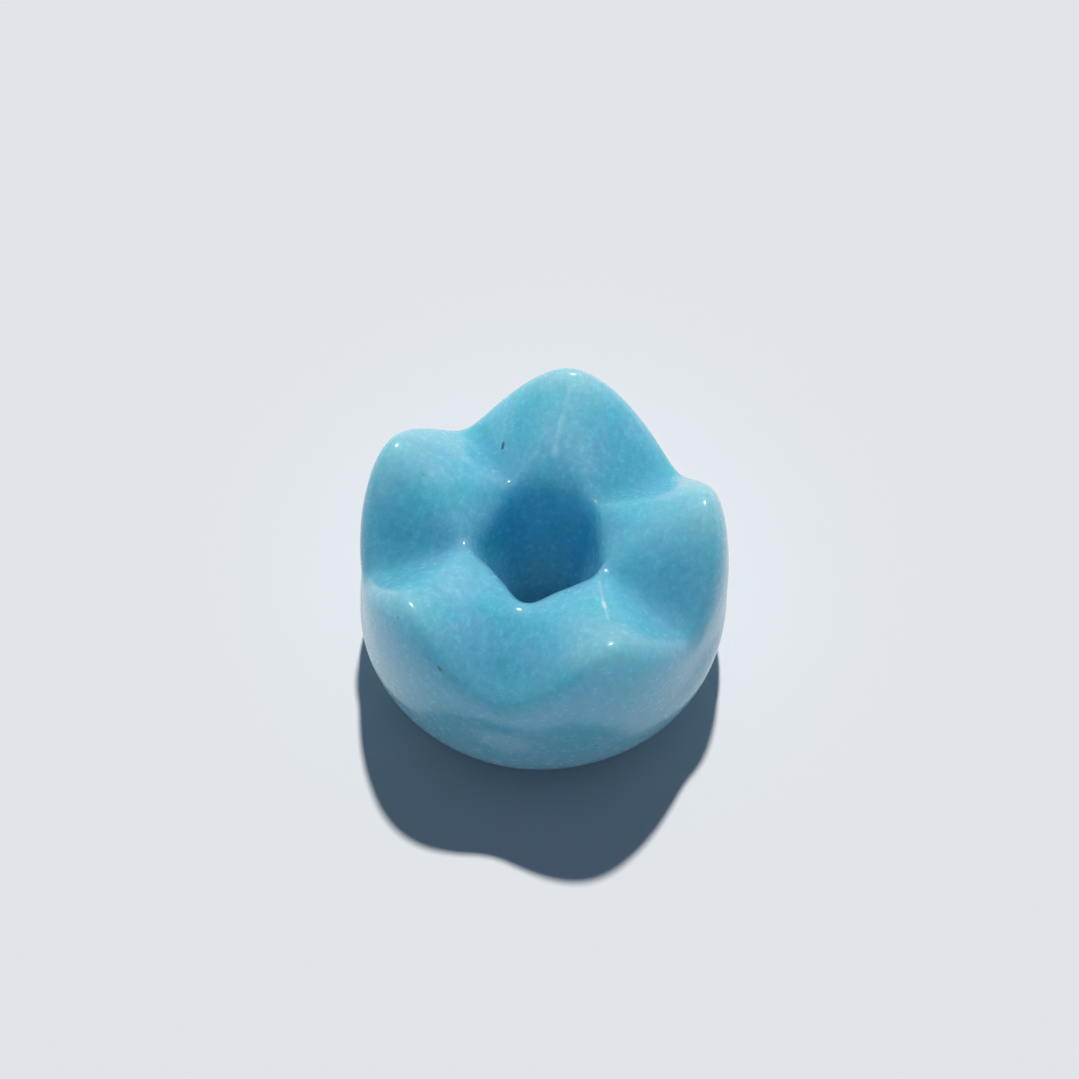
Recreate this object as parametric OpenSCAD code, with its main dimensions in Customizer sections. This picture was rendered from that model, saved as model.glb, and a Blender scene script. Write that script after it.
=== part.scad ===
// Flower bead: a tulip-shaped cup of five petals, ground and polished from one piece of stone.
// Millimetres. +Z is up, along the stringing hole. The origin is the middle of the flat foot,
// on the axis of that hole, and one petal points nearly along +X.

/* [Cup] */
// Radius of the flat foot that the bead stands on
foot_r = 3.7; // [3.2:0.05:4.4]
// Radius of the heel, where the underside turns up into the side
heel_r = 5.2; // [4.6:0.05:5.8]
// Height of the heel above the foot
heel_z = 0.8; // [0.6:0.05:1.2]
// Radius of the flank, between the heel and the belly
flank_r = 6; // [5.4:0.05:7.2]
// Height of the flank
flank_z = 2; // [1.6:0.05:2.6]
// Radius of the belly below a petal, the widest part of the cup
belly_r = 6.1; // [5:0.05:7.5]
// Height of the belly
belly_z = 3.4; // [2.8:0.05:4.1]
// How much nearer to the axis the belly is below a notch
belly_waist = 0.15; // [0:0.05:0.4]

/* [Petals] */
// Number of petals
petals = 5; // [4:1:7]
// Turn of the first petal from +X, in degrees
first_turn = 4.7; // [-36:0.1:36]
// Radius of a petal's outer face at shoulder height
shoulder_r = 6.1; // [5:0.05:7.5]
// Height of the shoulder
shoulder_z = 5.25; // [4.8:0.05:6.3]
// Radius of the brow, just under the tip on the outer face
brow_r = 5.9; // [5:0.05:7.2]
// Height of the brow
brow_z = 7.1; // [6.5:0.05:7.4]
// Radius of a petal's tip
tip_r = 5.4; // [4.8:0.05:6.4]
// Height of the tallest petal's tip
tip_z = 8; // [7.5:0.05:9.6]
// Radius of the lip, where the tip's rounding ends and the inner face begins
lip_r = 4.7; // [4.1:0.05:5.2]
// Height of the lip
lip_z = 7.8; // [7.3:0.05:9.4]
// Radius of the brim, where a petal's ridge rounds over into the mouth
brim_r = 2.95; // [2.6:0.05:3.6]
// Height of the brim
brim_z = 7.1; // [6.5:0.05:8.4]
// Turn over which a petal's ridge is rounded at its tip, in degrees
tip_round = 9; // [4:0.5:16]
// Turn over which the ridge is rounded on the outer face
side_round = 24; // [12:0.5:36]
// Turn over which the ridge is rounded at the mouth
mouth_round = 36; // [12:0.5:45]

/* [Notches] */
// Radius of a notch's outer end, low on the outside of the cup
notch_r = 5.75; // [4.8:0.05:7]
// Height of a notch's outer end
notch_z = 4.85; // [4.5:0.05:5.8]
// Radius of the hip, where the outside stands upright under a notch
hip_r = 5.9; // [5:0.05:7.2]
// Height of the hip
hip_z = 4.05; // [3.8:0.05:4.3]
// Radius at which the floor of the groove begins, inside the notch
groove_r = 5; // [4.2:0.05:5.4]
// Height of the groove's floor there
groove_z = 5.2; // [4.8:0.05:6]
// Radius of the saddle, the high inner end of a groove
saddle_r = 2.75; // [2.6:0.05:3.4]
// Height of the saddle
saddle_z = 6.35; // [5.8:0.05:7.2]
// Turn over which the bottom of a groove is rounded, in degrees
groove_round = 5.5; // [2:0.1:10]
// Turn over which the mouth is rounded below a groove
corner_round = 14; // [5:0.5:24]

/* [Mouth and holes] */
// Radius of the mouth below a ridge
mouth_r = 2; // [1.6:0.05:2.2]
// Height of the mouth below a ridge
mouth_z = 6.3; // [6:0.05:7.4]
// How much wider the mouth is below a groove
mouth_widening = 0.3; // [0:0.05:0.45]
// How much lower the mouth is below a groove
mouth_drop = 0.2; // [0:0.05:0.5]
// Radius of the tapered hole just below the mouth
taper_r = 1.7; // [1.4:0.05:2.05]
// Depth of that level below the mouth's lowest edge
taper_depth = 0.9; // [0.6:0.05:1.4]
// How much wider that level is below a groove
taper_widening = 0.2; // [0:0.05:0.4]
// Width of the ledge left round the stringing hole on the tapered hole's floor
floor_ledge = 0.15; // [0.1:0.05:0.4]
// Height of the tapered hole's floor above the foot
floor_z = 1.4; // [1:0.05:2.4]
// Radius of the stringing hole, drilled on from that floor through the foot
string_r = 0.6; // [0.4:0.05:0.8]

/* [Hand work] */
// How far each petal's tip is below the tallest one
petal_drop = [0.15, 0, 0.2, 0.5, 0.2];
// How far each petal leans out beyond the plan
petal_reach = [-0.05, 0.15, 0.15, -0.1, -0.05];
// How far each petal is turned from its even place, in degrees
petal_turn = [0, 2.4, 1, -4.7, 1.2];
// How far each notch is turned from its even place, in degrees
notch_turn = [-2, 3, -1, -1, -1];
// How far each notch is ground less deep than the plan, from the one after the first petal
notch_rise = [-0.1, 0.25, 0, 0.4, 0.4];
// How far each saddle stands out from the axis beyond the plan
saddle_reach = [-0.4, -0.3, -0.15, 0, -0.4];

/* [Hidden] */
pitch = 360 / petals;           // turn from one petal to the next
steps_to_groove = 7;            // facets from a ridge to the groove beside it
steps_to_point = 3;             // facets from one outline point to the next
settling_rounds = 20;           // passes that bring the spline onto the outline points
drill_overlap = 1;              // how far the drill runs past what it cuts
$fn = 64;

// Entry i of a list that starts again at its end
function nth(list, i) = list[i % len(list)];

// Point a share t of the way from a to b
function between(a, b, t) = a + (b - a) * t;

// Turn from +X of petal i's ridge, and of the groove that follows it
function ridge_turn(i) = first_turn + i * pitch + nth(petal_turn, i % petals);
function groove_turn(i) = first_turn + (i + 0.5) * pitch + nth(notch_turn, i);

// Outline points in a half plane through the axis, as [radius, height]. The underside and the
// floor of the tapered hole are round, so they are the same below a ridge and below a groove.
underside = [[foot_r, 0], [heel_r, heel_z], [flank_r, flank_z]];
taper_z = mouth_z - mouth_drop - taper_depth;
hole_floor = [string_r + floor_ledge, floor_z];
function tapered_hole(top) =
    [between(top, hole_floor, 0.35), between(top, hole_floor, 0.7), hole_floor];

// How much of a petal's, a notch's or a saddle's own change reaches each outline point from belly
// to taper
petal_share = [0, 0.4, 0.8, 1, 1, 0.8, 0.5, 0.1, 0];
notch_share = [0, 0.4, 0.8, 1, 1, 0.7, 0.3, 0, 0];
saddle_share = [0, 0, 0, 0, 0.35, 0.7, 1, 0.5, 0.2];

// Turns over which the ridge, and the bottom of the groove, is rounded at each of those points
ridge_rounds = [side_round, side_round, between(side_round, tip_round, 0.5), tip_round, tip_round,
                between(tip_round, mouth_round, 0.15), between(tip_round, mouth_round, 0.5),
                mouth_round, mouth_round];
groove_rounds = [for (n = [0:len(ridge_rounds) - 1])
                     n < 6 ? groove_round
                     : n == 6 ? between(groove_round, corner_round, 0.5) : corner_round];

// Outline over petal i, up its outer face and down along its ridge
function ridge_outline(i) =
    let(lip = [lip_r, lip_z],
        brim = [brim_r, brim_z],
        plan = [[belly_r, belly_z], [shoulder_r, shoulder_z], [brow_r, brow_z], [tip_r, tip_z],
                lip, between(lip, brim, 0.45), brim, [mouth_r, mouth_z], [taper_r, taper_z]],
        change = [nth(petal_reach, i), -nth(petal_drop, i)])
    [for (n = [0:len(plan) - 1]) plan[n] + change * petal_share[n]];

// Outline through notch i, up the outside and in along the floor of its groove
function groove_outline(i) =
    let(groove = [groove_r, groove_z],
        saddle = [saddle_r, saddle_z],
        plan = [[belly_r - belly_waist, belly_z], [hip_r, hip_z], [notch_r, notch_z],
                groove, between(groove, saddle, 0.35), between(groove, saddle, 0.7), saddle,
                [mouth_r + mouth_widening, mouth_z - mouth_drop],
                [taper_r + taper_widening, taper_z]])
    [for (n = [0:len(plan) - 1])
        plan[n] + [nth(saddle_reach, i) * saddle_share[n], nth(notch_rise, i) * notch_share[n]]];

// Share of the ridge's outline at s, which runs from 0 on a ridge to 1 in a groove, with each
// rounded over a given turn
function ridge_share(s, at_ridge, at_groove) =
    let(a = at_ridge / (pitch / 2),
        b = at_groove / (pitch / 2),
        from_ridge = sqrt(s * s + a * a) - a,
        from_groove = sqrt((1 - s) * (1 - s) + b * b) - b)
    from_groove / (from_ridge + from_groove);

// Uniform cubic B-spline with guide points g: its point at t, from 0 to 1, on piece n
function guide(g, n) = g[max(0, min(len(g) - 1, n))];
function spline_point(g, n, t) =
    (guide(g, n - 1) * pow(1 - t, 3)
     + guide(g, n) * (3 * pow(t, 3) - 6 * t * t + 4)
     + guide(g, n + 1) * (-3 * pow(t, 3) + 3 * t * t + 3 * t + 1)
     + guide(g, n + 2) * pow(t, 3)) / 6;

// Guide points g, moved until their spline passes through the outline points p
function settled(p, g, rounds) =
    rounds == 0 ? g
    : settled(p, [for (n = [0:len(p) - 1]) g[n] + p[n] - spline_point(g, n, 0)], rounds - 1);

// Smooth profile between petal i and notch j, at s as in ridge_share
function profile(i, j, s) =
    let(ridge = ridge_outline(i),
        groove = groove_outline(j),
        upper = [for (n = [0:len(ridge) - 1])
                     between(groove[n], ridge[n],
                             ridge_share(s, ridge_rounds[n], groove_rounds[n]))],
        outline = concat(underside, upper, tapered_hole(upper[len(upper) - 1])),
        g = settled(outline, outline, settling_rounds))
    [for (n = [0:len(g) - 2]) each [outline[n], for (k = [1:steps_to_point - 1])
                                        spline_point(g, n, k / steps_to_point)],
     hole_floor];

// That profile stood up at its place round the axis
function column(i, j, s) =
    let(turn = between(ridge_turn(i), groove_turn(j), s))
    [for (p = profile(i % petals, j, s)) [p[0] * cos(turn), p[0] * sin(turn), p[1]]];

// Skin of the bead as a closed polyhedron, from the flat foot to the tapered hole's floor
module petal_cup() {
    columns = [for (i = [0:petals - 1]) each concat(
                   [for (k = [0:steps_to_groove - 1]) column(i, i, k / steps_to_groove)],
                   [for (k = [steps_to_groove:-1:1]) column(i + 1, i, k / steps_to_groove)])];
    around = len(columns);
    rows = len(columns[0]);
    side = [for (c = [0:around - 1]) for (n = [0:rows - 2])
                let(here = c * rows + n, next = ((c + 1) % around) * rows + n)
                [here, here + 1, next + 1, next]];
    foot = [for (c = [0:around - 1]) c * rows];
    hole_end = [for (c = [around - 1:-1:0]) c * rows + rows - 1];
    polyhedron([for (c = columns) each c], concat(side, [foot, hole_end]));
}

// The bead: the petalled cup, drilled on from its floor through the foot for a string
module flower_bead() {
    color("skyblue")
        difference() {
            petal_cup();
            translate([0, 0, -drill_overlap])
                cylinder(r = string_r, h = floor_z + 2 * drill_overlap);
        }
}

flower_bead();
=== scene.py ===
"""A flower bead: a tulip-shaped cup of five petals, ground and polished from one pale blue stone.

The bead stands on its flat foot at the middle of a plain pale table, with its stringing hole
upright. Sizes are in millimetres, and `mm` turns them into Blender's metres.
"""

import math

import bpy
import numpy as np
from mathutils import Matrix, Vector


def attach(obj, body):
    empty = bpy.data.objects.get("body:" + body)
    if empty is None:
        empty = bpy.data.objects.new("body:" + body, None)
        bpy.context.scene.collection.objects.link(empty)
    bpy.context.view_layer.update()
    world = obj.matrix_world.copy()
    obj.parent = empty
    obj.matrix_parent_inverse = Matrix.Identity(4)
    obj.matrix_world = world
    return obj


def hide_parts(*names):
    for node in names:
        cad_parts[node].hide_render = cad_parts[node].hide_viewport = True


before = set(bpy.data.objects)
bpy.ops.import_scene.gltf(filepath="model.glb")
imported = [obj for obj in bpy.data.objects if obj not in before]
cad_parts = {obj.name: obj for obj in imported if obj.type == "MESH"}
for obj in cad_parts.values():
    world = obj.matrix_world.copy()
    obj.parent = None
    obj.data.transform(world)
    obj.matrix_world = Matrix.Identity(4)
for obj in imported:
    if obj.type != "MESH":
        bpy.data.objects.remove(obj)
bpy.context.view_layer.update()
scene = bpy.context.scene
mm = 0.001

# ------------------------------------------------------------------------------------------------
# The bead. One piece of ornamental stone, drilled with a taper and then a fine drill, ground into
# five ridged petals with grooves between them on a wheel, and polished all over by tumbling. It
# has nothing fixed to it. The shape is the maker's outline, taken once over a petal's ridge and
# once through a groove, and carried round the axis with a smooth change from one to the other.
# ------------------------------------------------------------------------------------------------

# the maker's outline: [radius, height]
foot_r = 3.7
heel = [5.2, 0.8]
flank = [6.0, 2.0]
belly_r, belly_z, belly_waist = 6.1, 3.4, 0.15
shoulder = [6.1, 5.25]
brow = [5.9, 7.1]
tip = [5.4, 8.0]
lip = [4.7, 7.8]
inner_face_at = 0.45         # share of the way from the lip to the brim
brim = [2.95, 7.1]
hip = [5.9, 4.05]
notch = [5.75, 4.85]
groove = [5.0, 5.2]
groove_floor_at = 0.35, 0.7  # shares of the way from the groove to the saddle
saddle = [2.75, 6.35]
mouth_r, mouth_z, mouth_widening, mouth_drop = 2.0, 6.3, 0.3, 0.2
taper_r, taper_depth, taper_widening = 1.7, 0.9, 0.2
taper_at = 0.35, 0.7, 1      # shares of the way down the tapered hole
hole_floor = [0.75, 1.4]
string_r = 0.6
edge_round = 0.06            # the drill's edges, rounded by the polishing

# the cut of the petals, in degrees and millimetres
petals = 5
first_turn = 4.7                                      # from +X
side_round, tip_round, mouth_round = 24.0, 9.0, 36.0  # turns over which a ridge is rounded
groove_round, corner_round = 5.5, 14.0                # and over which a groove and the mouth are
petal_drop = [0.15, 0, 0.2, 0.5, 0.2]
petal_reach = [-0.05, 0.15, 0.15, -0.1, -0.05]
petal_turn = [0, 2.4, 1, -4.7, 1.2]
notch_turn = [-2, 3, -1, -1, -1]
notch_rise = [-0.1, 0.25, 0, 0.4, 0.4]
saddle_reach = [-0.4, -0.3, -0.15, 0, -0.4]

# how much of a petal's, a notch's or a saddle's own change reaches each point from belly to taper
petal_share = [0, 0.4, 0.8, 1, 1, 0.8, 0.5, 0.1, 0]
notch_share = [0, 0.4, 0.8, 1, 1, 0.7, 0.3, 0, 0]
saddle_share = [0, 0, 0, 0, 0.35, 0.7, 1, 0.5, 0.2]

# the polished skin: how far it wanders, and over what distance
unevenness, unevenness_size = 0.006, 1.3

# how finely the skin is drawn
steps_to_groove = 28
steps_to_point = 12
steps_on_foot, steps_in_drill = 8, 12
settling_rounds = 20  # passes that bring the spline onto the outline's points
weld_gap = 0.001


def add(tree, kind, inputs=None, **settings):
    """Adds a node with its settings. An input is given by name or place, as a value or a link."""
    node = tree.nodes.new(kind)
    for name, value in settings.items():
        setattr(node, name, value)
    for key, value in (inputs or {}).items():
        if isinstance(value, bpy.types.Node):
            value = next(socket for socket in value.outputs if socket.enabled)
        if isinstance(value, bpy.types.NodeSocket):
            tree.links.new(value, node.inputs[key])
        else:
            node.inputs[key].default_value = value
    return node


def between(a, b, share):
    """The number or point a share of the way from a to b."""
    return np.add(a, np.subtract(b, a) * share)


def smooth_outline(points):
    """Points along the cubic B-spline that passes through the outline's own points."""
    wanted = np.array(points, float)
    guide = wanted.copy()
    for _ in range(settling_rounds):
        ends = np.vstack([guide[:1], guide, guide[-1:]])
        guide += wanted - (ends[:-2] + 4 * ends[1:-1] + ends[2:]) / 6
    ends = np.vstack([guide[:1], guide, guide[-1:]])
    t = np.arange(steps_to_point) / steps_to_point
    weights = np.stack([(1 - t) ** 3, 3 * t**3 - 6 * t**2 + 4,
                        -3 * t**3 + 3 * t**2 + 3 * t + 1, t**3], axis=1) / 6
    return np.vstack([weights @ ends[n:n + 4] for n in range(len(wanted) - 1)] + [wanted[-1:]])


# the cut at each point from belly to taper: the turns over which a ridge and a groove are rounded,
# as shares of half a petal's pitch, and the share of a saddle's reach
ridge_rounds = [side_round, side_round, between(side_round, tip_round, 0.5), tip_round, tip_round,
                between(tip_round, mouth_round, 0.15), between(tip_round, mouth_round, 0.5),
                mouth_round, mouth_round]
groove_rounds = [groove_round] * 6 + [between(groove_round, corner_round, 0.5), corner_round,
                                      corner_round]
half_pitch = 180 / petals
cut = [[at_ridge / half_pitch, at_groove / half_pitch, saddle_part] for
       at_ridge, at_groove, saddle_part in zip(ridge_rounds, groove_rounds, saddle_share)]


def whole_outline(upper, shares):
    """The closed outline, as rows of radius, share, height and cut: foot, side, petal or groove,
    taper and drill. The share is how much of a petal's or a notch's own change reaches the row."""
    lower = [[foot_r, 0], heel, flank]
    taper = [between(upper[-1], hole_floor, part) for part in taper_at]
    cuts = [cut[0]] * len(lower) + cut + [between(cut[-1], [0, 0, 0], part) for part in taper_at]
    all_shares = [0] * len(lower) + shares + [0] * len(taper)
    skin = smooth_outline([[r, share, z, *row_cut] for (r, z), share, row_cut in
                           zip(lower + upper + taper, all_shares, cuts)])
    quarter = [math.radians(a) for a in (0, 30, 60, 90)]
    floor_z = hole_floor[1]
    foot_edge = [[string_r + edge_round * (1 - math.cos(a)), edge_round * (1 - math.sin(a))]
                 for a in quarter]
    foot_flat = [[r, 0] for r in np.linspace(string_r + 3 * edge_round, foot_r - edge_round,
                                             steps_on_foot)]
    floor_edge = [[string_r + edge_round * (1 - math.sin(a)),
                   floor_z - edge_round * (1 - math.cos(a))] for a in quarter]
    drill = [[string_r, z] for z in np.linspace(floor_z - edge_round, edge_round,
                                                steps_in_drill)[1:]]
    round_start = [[r, 0, z, 0, 0, 0] for r, z in foot_edge + foot_flat]
    round_end = [[r, 0, z, 0, 0, 0] for r, z in floor_edge + drill]
    return np.vstack([round_start, skin, round_end]) * [mm, 1, mm, 1, 1, 1]


taper_z = mouth_z - mouth_drop - taper_depth
over_ridge = whole_outline(
    [[belly_r, belly_z], shoulder, brow, tip, lip, between(lip, brim, inner_face_at), brim,
     [mouth_r, mouth_z], [taper_r, taper_z]], petal_share)
through_groove = whole_outline(
    [[belly_r - belly_waist, belly_z], hip, notch, groove,
     *[between(groove, saddle, part) for part in groove_floor_at], saddle,
     [mouth_r + mouth_widening, mouth_z - mouth_drop], [taper_r + taper_widening, taper_z]],
    notch_share)


# Polished ornamental stone: a close-grained blue mineral that lets light some way in, so its
# shaded side glows and thin petals look pale. It is cloudy with teal and lilac patches of a few
# millimetres, and has a few dark specks and, in its petals, an inclusion and a healed crack. Its
# tips are paler with a painted glow, its heel greyer with a painted reflection of the table, and
# two pale streaks along petal ridges are painted highlights. Tumbling leaves a wet gloss. The real
# grain is about 0.05 mm, too fine to show, so it is drawn five times as coarse.
def linear(colour):
    """A colour given as an sRGB hex value, as the linear RGBA that Blender's nodes take."""
    parts = [int(colour[i:i + 2], 16) / 255 for i in (1, 3, 5)]
    return [p / 12.92 if p <= 0.04045 else ((p + 0.055) / 1.055) ** 2.4 for p in parts] + [1]


teal_blue = linear("#67c2d4")
stone_blue = linear("#70c1d8")
lilac_blue = linear("#7bc0da")
# painted glow: the paleness that light coming through the thin petal tips gives them
tip_painted_glow = linear("#a9cdcf")
# painted reflection: the grey that the pale table's bounce light and reflection give the heel
heel_painted_reflection = linear("#93bcd0")
speck_dark = linear("#33616c")
cloud_size = 1.8 * mm
grain_size = 0.25 * mm
grain_depth = 0.01 * mm
speck_spacing = 0.9 * mm
tip_glow_fade = 7.2 * mm, 8.7 * mm   # heights over which the painted glow turns a petal pale
tip_glow_wander = 1.2 * mm      # how far the clouds move them
heel_reflection_fade = 4.8 * mm, 2.0 * mm  # heights over which the painted reflection turns the side grey
mark_and_highlight_waver = 0.12 * mm
mark_and_highlight_edge = 0.3, 1.4            # a mark or painted highlight fades over these shares of its half width
light_reach = 6.5 * mm

# marks in the stone and painted highlight streaks: from, to, half width (all mm), colour, strength
marks_and_painted_highlights = [
    [(-1.24, 3.79, 6.23), (-1.26, 3.65, 6.21), 0.075, "#16383d", 0.8],      # inclusion
    [(-3.28, -4.68, 6.27), (-3.22, -4.74, 6.20), 0.06, "#4b4f50", 0.7],     # brown speck
    [(-3.65, -4.42, 6.49), (-3.25, -4.71, 6.24), 0.04, "#4d6f7c", 0.4],     # healed crack
    [(-3.25, -4.71, 6.24), (-2.72, -5.14, 5.63), 0.035, "#4a7f90", 0.3],
    [(0.95, 4.88, 7.86), (0.45, 2.92, 7.05), 0.09, "#bfe2ec", 0.22],        # painted highlight streak down a petal's ridge
    [(0.47, 2.96, 7.07), (0.43, 2.86, 7.03), 0.16, "#bfe2ec", 0.25],        # its blurred end, painted highlight too
    [(1.82, -1.82, 6.69), (1.90, -2.71, 7.05), 0.05, "#c4e3ec", 0.3],       # painted highlight streak down another petal's ridge
    [(1.90, -2.71, 7.05), (2.06, -3.58, 7.33), 0.05, "#c4e3ec", 0.4],
    [(1.93, -2.85, 7.10), (1.97, -3.05, 7.18), 0.08, "#d8eef4", 0.6]]      # its brightest middle, a painted glint

stone = bpy.data.materials.new("polished_blue_stone")
stone.use_nodes = True
nodes = stone.node_tree
nodes.nodes.clear()
place = add(nodes, "ShaderNodeTexCoord").outputs["Object"]
clouds = add(nodes, "ShaderNodeTexNoise", {
    "Vector": place, "Scale": 1 / cloud_size, "Detail": 3.0, "Roughness": 0.6, "Distortion": 0.4})
cloudy = add(nodes, "ShaderNodeValToRGB", {"Fac": clouds.outputs["Fac"]})
ramp = cloudy.color_ramp
ramp.elements[0].position, ramp.elements[0].color = 0.35, teal_blue
ramp.elements[1].position, ramp.elements[1].color = 0.68, lilac_blue
ramp.elements.new(0.5).color = stone_blue
colour = cloudy.outputs["Color"]

# petal tips are paler, unevenly: a painted glow that stands in for light coming through the thin
# tips
height = add(nodes, "ShaderNodeSeparateXYZ", {0: place}).outputs["Z"]
uneven_height = add(nodes, "ShaderNodeMath", {
    0: clouds.outputs["Fac"], 1: tip_glow_wander, 2: height}, operation="MULTIPLY_ADD")
tip_glow_share = add(nodes, "ShaderNodeMapRange", {
    "Value": uneven_height, "From Min": tip_glow_fade[0], "From Max": tip_glow_fade[1], "To Max": 0.4},
    interpolation_type="SMOOTHSTEP")
colour = add(nodes, "ShaderNodeMix", {"Factor": tip_glow_share, "A": colour, "B": tip_painted_glow},
             data_type="RGBA")

# the side turns greyer towards the heel: painted reflection and bounce light of the pale table
heel_reflection_share = add(nodes, "ShaderNodeMapRange", {
    "Value": height, "From Min": heel_reflection_fade[0], "From Max": heel_reflection_fade[1], "To Max": 0.5},
    interpolation_type="SMOOTHSTEP")
colour = add(nodes, "ShaderNodeMix", {"Factor": heel_reflection_share, "A": colour, "B": heel_painted_reflection},
             data_type="RGBA")

# fine grain, lighter and darker
grain = add(nodes, "ShaderNodeTexNoise", {
    "Vector": place, "Scale": 1 / grain_size, "Detail": 5.0, "Roughness": 0.75, "Distortion": 0.3})
grain_light = add(nodes, "ShaderNodeMapRange", {
    "Value": grain.outputs["Fac"], "From Min": 0.3, "From Max": 0.7, "To Min": 0.82,
    "To Max": 1.1})
colour = add(nodes, "ShaderNodeVectorMath", {0: colour, "Scale": grain_light}, operation="SCALE")

# dark specks: one pin prick in about every third cell
cells = add(nodes, "ShaderNodeTexVoronoi", {"Vector": place, "Scale": 1 / speck_spacing})
in_cell = add(nodes, "ShaderNodeSeparateColor", {"Color": cells.outputs["Color"]}).outputs[0]
speck_size = add(nodes, "ShaderNodeMapRange", {
    "Value": in_cell, "From Min": 0.65, "From Max": 1.0, "To Min": 0.0, "To Max": 0.11})
inside = add(nodes, "ShaderNodeMath", {0: cells.outputs["Distance"], 1: speck_size},
             operation="LESS_THAN")
speck_share = add(nodes, "ShaderNodeMath", {0: inside, 1: 0.4}, operation="MULTIPLY")
colour = add(nodes, "ShaderNodeMix", {"Factor": speck_share, "A": colour, "B": speck_dark},
             data_type="RGBA")

# each mark colours what lies near the line from its one end to the other; the pale streaks are
# painted highlights
waver = add(nodes, "ShaderNodeVectorMath", {0: grain.outputs["Color"], 1: (0.5, 0.5, 0.5)},
            operation="SUBTRACT")
wavering = add(nodes, "ShaderNodeVectorMath", {0: waver, 1: (mark_and_highlight_waver,) * 3, 2: place},
               operation="MULTIPLY_ADD")
for start_mm, end_mm, half_width, mark_or_highlight_colour, strength in marks_and_painted_highlights:
    start = Vector(start_mm) * mm
    along = Vector(end_mm) * mm - start
    past_start = add(nodes, "ShaderNodeVectorMath", {0: wavering, 1: start},
                     operation="SUBTRACT")
    share = add(nodes, "ShaderNodeVectorMath", {0: past_start, 1: along / along.length_squared},
                operation="DOT_PRODUCT")
    held_share = add(nodes, "ShaderNodeClamp", {"Value": share.outputs["Value"]})
    nearest = add(nodes, "ShaderNodeVectorMath", {0: along, 1: held_share, 2: start},
                  operation="MULTIPLY_ADD")
    away = add(nodes, "ShaderNodeVectorMath", {0: wavering, 1: nearest}, operation="DISTANCE")
    mark_or_highlight_share = add(nodes, "ShaderNodeMapRange", {
        "Value": away.outputs["Value"], "From Min": mark_and_highlight_edge[0] * half_width * mm,
        "From Max": mark_and_highlight_edge[1] * half_width * mm, "To Min": strength, "To Max": 0.0},
        interpolation_type="SMOOTHSTEP")
    colour = add(nodes, "ShaderNodeMix", {
        "Factor": mark_or_highlight_share, "A": colour, "B": linear(mark_or_highlight_colour)}, data_type="RGBA")

# the gloss: a little duller and faintly hollow between the grains, under a clear polish
roughness = add(nodes, "ShaderNodeMapRange", {
    "Value": grain.outputs["Fac"], "From Min": 0.3, "From Max": 0.7, "To Min": 0.2,
    "To Max": 0.3})
fine_relief = add(nodes, "ShaderNodeBump", {
    "Height": grain.outputs["Fac"], "Strength": 0.12, "Distance": grain_depth})
stone_shader = add(nodes, "ShaderNodeBsdfPrincipled", {
    "Base Color": colour, "Roughness": roughness, "IOR": 1.5, "Normal": fine_relief,
    "Specular IOR Level": 0.3, "Coat Weight": 0.35, "Coat Roughness": 0.07,
    "Subsurface Weight": 0.85, "Subsurface Radius": (0.75, 0.95, 1.0),
    "Subsurface Scale": light_reach})
add(nodes, "ShaderNodeOutputMaterial", {"Surface": stone_shader})

# the rule that makes the skin: a sheet whose columns stand round the axis and whose rows follow
# the outlines
tree = bpy.data.node_groups.new("petals carried round the axis", "GeometryNodeTree")
wanted_inputs = [("Outlines", "NodeSocketGeometry", None), ("Petals", "NodeSocketInt", petals),
                 ("Steps to groove", "NodeSocketInt", steps_to_groove),
                 ("First turn", "NodeSocketFloat", math.radians(first_turn)),
                 ("Unevenness", "NodeSocketFloat", unevenness * mm),
                 ("Unevenness size", "NodeSocketFloat", unevenness_size * mm),
                 ("Stone", "NodeSocketMaterial", stone)]
for i in range(petals):
    wanted_inputs += [
        (f"Lean of petal {i + 1}", "NodeSocketVector",
         (petal_reach[i] * mm, 0, -petal_drop[i] * mm)),
        (f"Turn of petal {i + 1}", "NodeSocketFloat", math.radians(petal_turn[i])),
        (f"Turn of notch {i + 1}", "NodeSocketFloat", math.radians(notch_turn[i])),
        (f"Rise of notch {i + 1}", "NodeSocketVector", (0, 0, notch_rise[i] * mm)),
        (f"Reach of saddle {i + 1}", "NodeSocketVector", (saddle_reach[i] * mm, 0, 0))]
for name, kind, value in wanted_inputs:
    tree.interface.new_socket(name=name, in_out="INPUT", socket_type=kind)
tree.interface.new_socket(name="Bead", in_out="OUTPUT", socket_type="NodeSocketGeometry")

given = add(tree, "NodeGroupInput").outputs
count = add(tree, "GeometryNodeAttributeDomainSize", {"Geometry": given["Outlines"]})
rows = add(tree, "ShaderNodeMath", {0: count.outputs["Point Count"], 1: 2}, operation="DIVIDE")
last_row = add(tree, "ShaderNodeMath", {0: rows, 1: 1}, operation="SUBTRACT")
half_around = add(tree, "ShaderNodeMath", {0: given["Petals"], 1: given["Steps to groove"]},
                  operation="MULTIPLY")
around = add(tree, "ShaderNodeMath", {0: half_around, 1: 2}, operation="MULTIPLY")
columns = add(tree, "ShaderNodeMath", {0: around, 1: 1}, operation="ADD")
sheet = add(tree, "GeometryNodeMeshGrid", {
    "Size X": around, "Size Y": last_row, "Vertices X": columns, "Vertices Y": rows})
spot = add(tree, "ShaderNodeSeparateXYZ", {0: add(tree, "GeometryNodeInputPosition")}).outputs
column = add(tree, "ShaderNodeMath", {0: spot["X"], 1: half_around}, operation="ADD")
half_rows = add(tree, "ShaderNodeMath", {0: last_row, 1: 2}, operation="DIVIDE")
row = add(tree, "ShaderNodeMath", {0: spot["Y"], 1: half_rows}, operation="ADD")

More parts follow.
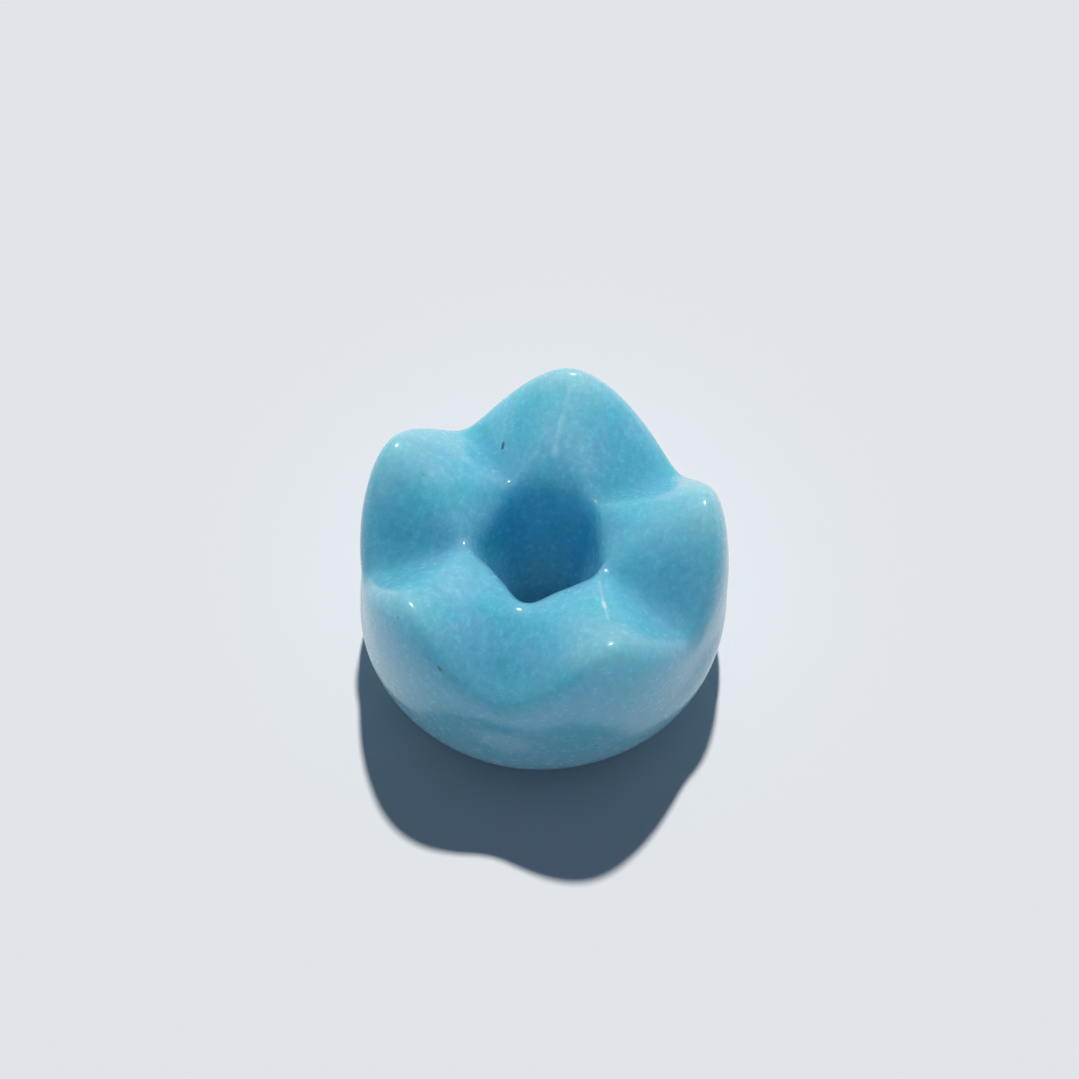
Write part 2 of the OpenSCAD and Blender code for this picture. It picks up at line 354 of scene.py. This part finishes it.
# how far round a vertex is, counted in half petals and in petals
in_halves = add(tree, "ShaderNodeMath", {0: column, 1: given["Steps to groove"]},
                operation="DIVIDE")
in_petals = add(tree, "ShaderNodeMath", {0: in_halves, 1: 2}, operation="DIVIDE")
off_ridge = add(tree, "ShaderNodeMath", {0: in_halves, 1: 1}, operation="PINGPONG")
off_groove = add(tree, "ShaderNodeMath", {0: 1, 1: off_ridge}, operation="SUBTRACT")
next_half = add(tree, "ShaderNodeMath", {0: in_petals, 1: 0.5}, operation="ADD")
ridge_at = add(tree, "ShaderNodeMath", {0: next_half}, operation="FLOOR")
groove_at = add(tree, "ShaderNodeMath", {0: in_petals}, operation="FLOOR")
petal_of = add(tree, "ShaderNodeMath", {0: ridge_at, 1: given["Petals"]}, operation="MODULO")
notch_of = add(tree, "ShaderNodeMath", {0: groove_at, 1: given["Petals"]}, operation="MODULO")

# each petal's own lean and turn, each notch's own turn and rise, and each saddle's own reach
own = {}
for name, kind, index in (("Lean of petal", "VECTOR", petal_of),
                          ("Turn of petal", "FLOAT", petal_of),
                          ("Turn of notch", "FLOAT", notch_of),
                          ("Rise of notch", "VECTOR", notch_of),
                          ("Reach of saddle", "VECTOR", notch_of)):
    own[name] = add(tree, "GeometryNodeIndexSwitch", {"Index": index}, data_type=kind)
    while len(own[name].index_switch_items) < petals:
        own[name].index_switch_items.new()
    for i in range(petals):
        tree.links.new(given[f"{name} {i + 1}"], own[name].inputs[i + 1])

# the turn from +X: from the ridge's own place to the groove's own place
pitch = add(tree, "ShaderNodeMath", {0: 2 * math.pi, 1: given["Petals"]}, operation="DIVIDE")
ridge_turn = add(tree, "ShaderNodeMath", {0: ridge_at, 1: pitch, 2: own["Turn of petal"]},
                 operation="MULTIPLY_ADD")
groove_place = add(tree, "ShaderNodeMath", {0: groove_at, 1: 0.5}, operation="ADD")
groove_turn = add(tree, "ShaderNodeMath", {0: groove_place, 1: pitch, 2: own["Turn of notch"]},
                  operation="MULTIPLY_ADD")
turn_from_first = add(tree, "ShaderNodeMix", {"Factor": off_ridge, "A": ridge_turn,
                                              "B": groove_turn}, data_type="FLOAT")
turn = add(tree, "ShaderNodeMath", {0: turn_from_first, 1: given["First turn"]}, operation="ADD")

# the ridge's share: 1 on a ridge and 0 in a groove, level at both and near straight between
named_cut = add(tree, "GeometryNodeInputNamedAttribute", {"Name": "cut"},
                data_type="FLOAT_VECTOR")
cut_here = add(tree, "GeometryNodeSampleIndex", {
    "Geometry": given["Outlines"], "Index": row, "Value": named_cut}, data_type="FLOAT_VECTOR")
cut_parts = add(tree, "ShaderNodeSeparateXYZ", {0: cut_here}).outputs
rounded = []
for off, rounding in ((off_ridge, cut_parts["X"]), (off_groove, cut_parts["Y"])):
    rounding_squared = add(tree, "ShaderNodeMath", {0: rounding, 1: rounding}, operation="MULTIPLY")
    squares = add(tree, "ShaderNodeMath", {0: off, 1: off, 2: rounding_squared},
                  operation="MULTIPLY_ADD")
    root = add(tree, "ShaderNodeMath", {0: squares}, operation="SQRT")
    rounded.append(add(tree, "ShaderNodeMath", {0: root, 1: rounding}, operation="SUBTRACT"))
both = add(tree, "ShaderNodeMath", {0: rounded[0], 1: rounded[1]}, operation="ADD")
ridge_share = add(tree, "ShaderNodeMath", {0: rounded[1], 1: both}, operation="DIVIDE")

# the two outlines at this row, each with its own petal's or notch's change, and the mix of both
at_position = add(tree, "GeometryNodeInputPosition")
groove_row = add(tree, "ShaderNodeMath", {0: row, 1: rows}, operation="ADD")
changed = []
for index, change in ((row, "Lean of petal"), (groove_row, "Rise of notch")):
    point = add(tree, "GeometryNodeSampleIndex", {
        "Geometry": given["Outlines"], "Value": at_position, "Index": index},
        data_type="FLOAT_VECTOR")
    share = add(tree, "ShaderNodeSeparateXYZ", {0: point}).outputs["Y"]
    changed.append(add(tree, "ShaderNodeVectorMath", {0: own[change], 1: share, 2: point},
                       operation="MULTIPLY_ADD"))
reached = add(tree, "ShaderNodeVectorMath", {0: own["Reach of saddle"], 1: cut_parts["Z"],
                                             2: changed[1]}, operation="MULTIPLY_ADD")
outline = add(tree, "ShaderNodeMix", {"Factor": ridge_share, "A": reached, "B": changed[0]},
              data_type="VECTOR")
outline_parts = add(tree, "ShaderNodeSeparateXYZ", {0: outline}).outputs
upright = add(tree, "ShaderNodeCombineXYZ", {"X": outline_parts["X"], "Z": outline_parts["Z"]})
turned = add(tree, "ShaderNodeVectorRotate", {"Vector": upright, "Angle": turn},
             rotation_type="Z_AXIS")
skin = add(tree, "GeometryNodeSetPosition", {"Geometry": sheet.outputs["Mesh"], "Position": turned})
closed = add(tree, "GeometryNodeMergeByDistance", {"Geometry": skin, "Distance": weld_gap * mm})

# the skin is faintly uneven, but the flat foot and the drilled hole stay true
vertex = add(tree, "GeometryNodeInputPosition")
per_metre = add(tree, "ShaderNodeMath", {0: 1, 1: given["Unevenness size"]}, operation="DIVIDE")
hollows = add(tree, "ShaderNodeTexNoise", {"Vector": vertex, "Scale": per_metre, "Detail": 1.0})
up_or_down = add(tree, "ShaderNodeMapRange", {
    "Value": hollows.outputs["Fac"], "To Min": -2.0, "To Max": 2.0})
vertex_parts = add(tree, "ShaderNodeSeparateXYZ", {0: vertex}).outputs
above_foot = add(tree, "ShaderNodeMapRange", {
    "Value": vertex_parts["Z"], "From Min": 0.1 * mm, "From Max": 1.0 * mm})
flat_place = add(tree, "ShaderNodeCombineXYZ", {"X": vertex_parts["X"], "Y": vertex_parts["Y"]})
off_axis = add(tree, "ShaderNodeVectorMath", {0: flat_place}, operation="LENGTH")
off_drill = add(tree, "ShaderNodeMapRange", {
    "Value": off_axis.outputs["Value"], "From Min": string_r * mm, "From Max": 2 * string_r * mm})
free = add(tree, "ShaderNodeMath", {0: above_foot, 1: off_drill}, operation="MULTIPLY")
rise = add(tree, "ShaderNodeMath", {0: up_or_down, 1: free}, operation="MULTIPLY")
rise_mm = add(tree, "ShaderNodeMath", {0: rise, 1: given["Unevenness"]}, operation="MULTIPLY")
outward = add(tree, "GeometryNodeInputNormal")
shift = add(tree, "ShaderNodeVectorMath", {0: outward, "Scale": rise_mm}, operation="SCALE")
polished = add(tree, "GeometryNodeSetPosition", {"Geometry": closed, "Offset": shift})

smooth = add(tree, "GeometryNodeSetShadeSmooth", {"Geometry": polished})
real = add(tree, "GeometryNodeRealizeInstances", {"Geometry": smooth})
finished = add(tree, "GeometryNodeSetMaterial", {"Geometry": real, "Material": given["Stone"]})
add(tree, "NodeGroupOutput", {0: finished})

# the bead starts as the points of both outlines, and the rule makes them its skin
outlines = bpy.data.meshes.new("bead_outlines")
both_outlines = np.vstack([over_ridge, through_groove])
outlines.from_pydata(both_outlines[:, :3].tolist(), [], [])
cut_of_row = outlines.attributes.new("cut", "FLOAT_VECTOR", "POINT")
cut_of_row.data.foreach_set("vector", both_outlines[:, 3:].astype(np.float32).ravel())
bead = bpy.data.objects.new("stone_flower_bead", outlines)
scene.collection.objects.link(bead)
carried = bead.modifiers.new("petals", "NODES")
carried.node_group = tree
identifiers = {item.name: item.identifier for item in tree.interface.items_tree
               if item.in_out == "INPUT"}
for name, kind, value in wanted_inputs[1:]:
    carried[identifiers[name]] = value
bpy.context.view_layer.update()
finished_mesh = bpy.data.meshes.new_from_object(
    bead.evaluated_get(bpy.context.evaluated_depsgraph_get()))
bead.modifiers.remove(carried)
bead.data = finished_mesh
finished_mesh.name = "stone_flower_bead"

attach(bead, "root")
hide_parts("flower_bead")

# ------------------------------------------------------------------------------------------------
# The table: a plain sheet of matt off-white paper that the bead stands on. It takes the shadow and
# throws a little light back under the bead. It isn't part of the object.
# ------------------------------------------------------------------------------------------------
table_half = 600 * mm
table_mesh = bpy.data.meshes.new("table")
table_mesh.from_pydata([(-table_half, -table_half, 0), (table_half, -table_half, 0),
                        (table_half, table_half, 0), (-table_half, table_half, 0)], [],
                       [(0, 1, 2, 3)])
table = bpy.data.objects.new("table", table_mesh)
scene.collection.objects.link(table)
paper = bpy.data.materials.new("pale_matt_paper")
paper.use_nodes = True
paper_shader = paper.node_tree.nodes["Principled BSDF"]
paper_shader.inputs["Base Color"].default_value = linear("#e9e9e8")
paper_shader.inputs["Roughness"].default_value = 0.85
table_mesh.materials.append(paper)

# ------------------------------------------------------------------------------------------------
# Light and camera: one strong key light from high behind the bead, a weak blue sky all round, and
# a long lens looking down from the front.
# ------------------------------------------------------------------------------------------------
sun = bpy.data.lights.new("key", "SUN")
sun.energy = 3.0
sun.angle = math.radians(2.5)
key = bpy.data.objects.new("key", sun)
key_height, key_turn = math.radians(62.6), math.radians(7.0)
towards_key = Vector((math.sin(key_turn) * math.cos(key_height),
                      math.cos(key_turn) * math.cos(key_height), math.sin(key_height)))
key.rotation_euler = towards_key.to_track_quat("Z", "Y").to_euler()
scene.collection.objects.link(key)

sky = bpy.data.worlds.new("room")
scene.world = sky
sky.use_nodes = True
sky_light = sky.node_tree.nodes["Background"]
sky_light.inputs["Color"].default_value = linear("#b4d4ff")
sky_light.inputs["Strength"].default_value = 0.15

camera_data = bpy.data.cameras.new("camera")
camera_data.lens = 121.6
camera_data.sensor_width = 36.0
camera_data.clip_start = 10 * mm
camera = bpy.data.objects.new("camera", camera_data)
view_height, view_roll = math.radians(58.0), math.radians(-0.5)
view_place = Vector((-0.075, -62.32, 106.06)) * mm
camera.matrix_world = (Matrix.Translation(view_place)
                       @ Matrix.Rotation(math.pi / 2 - view_height, 4, "X")
                       @ Matrix.Rotation(view_roll, 4, "Z"))
scene.collection.objects.link(camera)
scene.camera = camera
scene.view_settings.view_transform = "Standard"
